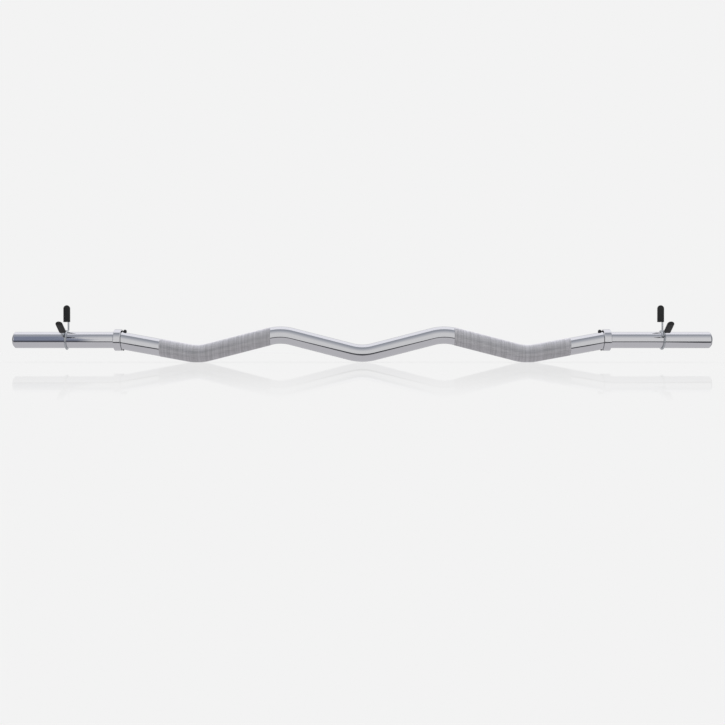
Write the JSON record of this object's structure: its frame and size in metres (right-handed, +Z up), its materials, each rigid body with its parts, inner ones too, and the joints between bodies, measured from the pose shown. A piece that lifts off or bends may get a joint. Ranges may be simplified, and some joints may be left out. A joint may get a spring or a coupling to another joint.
{
  "type": "ez curl bar",
  "caption": "Zigzag-bent chrome curl bar with knurled hand grips, a pinned stop collar at the root of each plate sleeve, and sprung wire clips that slide on the sleeves and open when squeezed.",
  "frame": {"origin": "middle of the bar's length, in the plane of its bends, half way between the high and the low bends, which is within a millimetre or so of the balance point", "axes": "+X along the bar to the right-hand sleeve, +Z up in the plane of the bends towards the upright clip levers, +Y to the back, away from the side the front clip levers lean to"},
  "size_m": [1.2, 0.0717, 0.0984],
  "materials": {
    "chromed_rod": "polished chrome plate on a steel rod",
    "chromed_collar": "polished chrome plate on a turned steel ring",
    "spring_wire": "bright plated spring wire",
    "black_vinyl": "dipped black vinyl, satin",
    "black_pin": "blackened steel"
  },
  "bodies": {
    "bar": {"bar": "chromed_rod", "left_stop_collar": "chromed_collar", "right_stop_collar": "chromed_collar", "left_collar_pin": "black_pin", "right_collar_pin": "black_pin"},
    "left_clip": {"left_clip_coil": "spring_wire"},
    "left_clip_upright_handle": {"left_clip_upright_lever": "spring_wire", "left_clip_upright_grip": "black_vinyl"},
    "left_clip_front_handle": {"left_clip_front_lever": "spring_wire", "left_clip_front_grip": "black_vinyl"},
    "right_clip": {"right_clip_coil": "spring_wire"},
    "right_clip_upright_handle": {"right_clip_upright_lever": "spring_wire", "right_clip_upright_grip": "black_vinyl"},
    "right_clip_front_handle": {"right_clip_front_lever": "spring_wire", "right_clip_front_grip": "black_vinyl"}
  },
  "joints": [
    {"name": "left_clip_slide", "type": "slide", "parent": "bar", "child": "left_clip", "axis": [-1, 0, 0], "range_m": [-0.079, 0.084]},
    {"name": "left_upright_squeeze", "type": "hinge", "parent": "left_clip", "child": "left_clip_upright_handle", "pos_m": [-0.50958, 0, 0.0072], "axis": [1, 0, 0], "range_deg": [0, 28], "stiffness_Nm_per_rad": 3, "springref_deg": -20.05, "deforming": ["left_clip_coil"]},
    {"name": "left_front_squeeze", "type": "hinge", "parent": "left_clip", "child": "left_clip_front_handle", "pos_m": [-0.50958, 0, 0.0072], "axis": [-1, 0, 0], "range_deg": [0, 28], "stiffness_Nm_per_rad": 3, "springref_deg": -20.05, "deforming": ["left_clip_coil"]},
    {"name": "right_clip_slide", "type": "slide", "parent": "bar", "child": "right_clip", "axis": [1, 0, 0], "range_m": [-0.0859, 0.0776]},
    {"name": "right_upright_squeeze", "type": "hinge", "parent": "right_clip", "child": "right_clip_upright_handle", "pos_m": [0.51628, 0, 0.0072], "axis": [1, 0, 0], "range_deg": [0, 28], "stiffness_Nm_per_rad": 3, "springref_deg": -20.05, "deforming": ["right_clip_coil"]},
    {"name": "right_front_squeeze", "type": "hinge", "parent": "right_clip", "child": "right_clip_front_handle", "pos_m": [0.51628, 0, 0.0072], "axis": [-1, 0, 0], "range_deg": [0, 28], "stiffness_Nm_per_rad": 3, "springref_deg": -20.05, "deforming": ["right_clip_coil"]}
  ],
  "couplings": [
    {"joint": "left_front_squeeze", "follows": "left_upright_squeeze", "ratio": 1},
    {"joint": "right_front_squeeze", "follows": "right_upright_squeeze", "ratio": 1}
  ]
}
